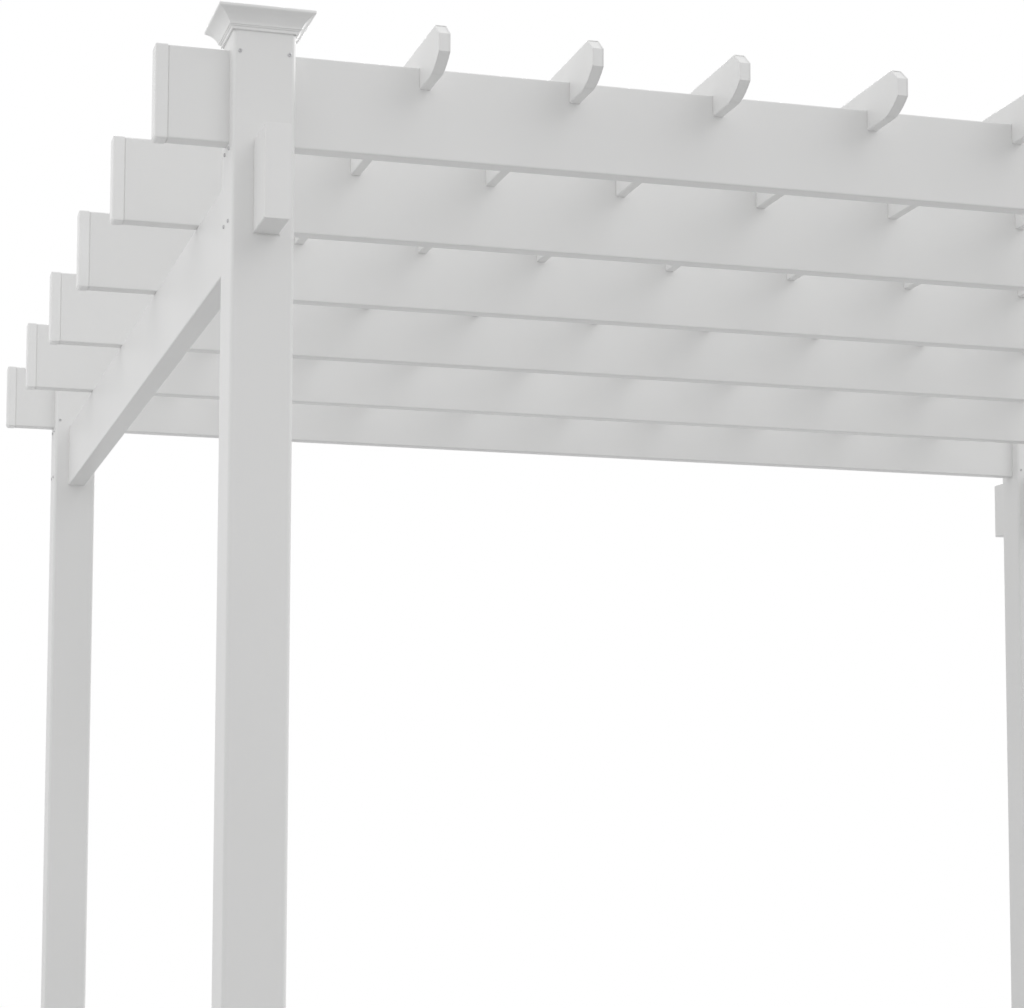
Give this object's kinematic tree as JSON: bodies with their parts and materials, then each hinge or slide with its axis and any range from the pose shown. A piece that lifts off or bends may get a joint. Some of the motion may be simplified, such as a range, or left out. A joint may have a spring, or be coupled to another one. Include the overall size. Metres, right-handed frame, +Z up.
{
  "type": "garden pergola",
  "caption": "Free-standing square garden pergola of hollow white vinyl: capped posts hold side beams and rafters in through mortises, under a layer of notched slats.",
  "frame": {"origin": "on the ground, in the middle of the four posts", "axes": "+X along the rafters, +Y along the side beams to the back, +Z up"},
  "size_m": [3.058, 2.98, 2.4804],
  "materials": {
    "white_vinyl": "smooth extruded vinyl with a low satin gloss",
    "white_moulding": "moulded vinyl caps with a low satin gloss",
    "dark_screws": "pan-head screws with a dark coating"
  },
  "bodies": {
    "root": {"front_left_post": "white_vinyl", "front_right_post": "white_vinyl", "back_left_post": "white_vinyl", "back_right_post": "white_vinyl", "front_left_cap": "white_moulding", "front_right_cap": "white_moulding", "back_left_cap": "white_moulding", "back_right_cap": "white_moulding", "left_beam": "white_vinyl", "right_beam": "white_vinyl", "left_beam_caps": "white_moulding", "right_beam_caps": "white_moulding", "rafter_1": "white_vinyl", "rafter_2": "white_vinyl", "rafter_3": "white_vinyl", "rafter_4": "white_vinyl", "rafter_5": "white_vinyl", "rafter_6": "white_vinyl", "left_rafter_caps": "white_moulding", "right_rafter_caps": "white_moulding", "slat_1": "white_vinyl", "slat_2": "white_vinyl", "slat_3": "white_vinyl", "slat_4": "white_vinyl", "slat_5": "white_vinyl", "slat_6": "white_vinyl", "slat_7": "white_vinyl", "slat_8": "white_vinyl", "slat_9": "white_vinyl", "front_slat_caps": "white_moulding", "back_slat_caps": "white_moulding"}
  },
  "joints": []
}
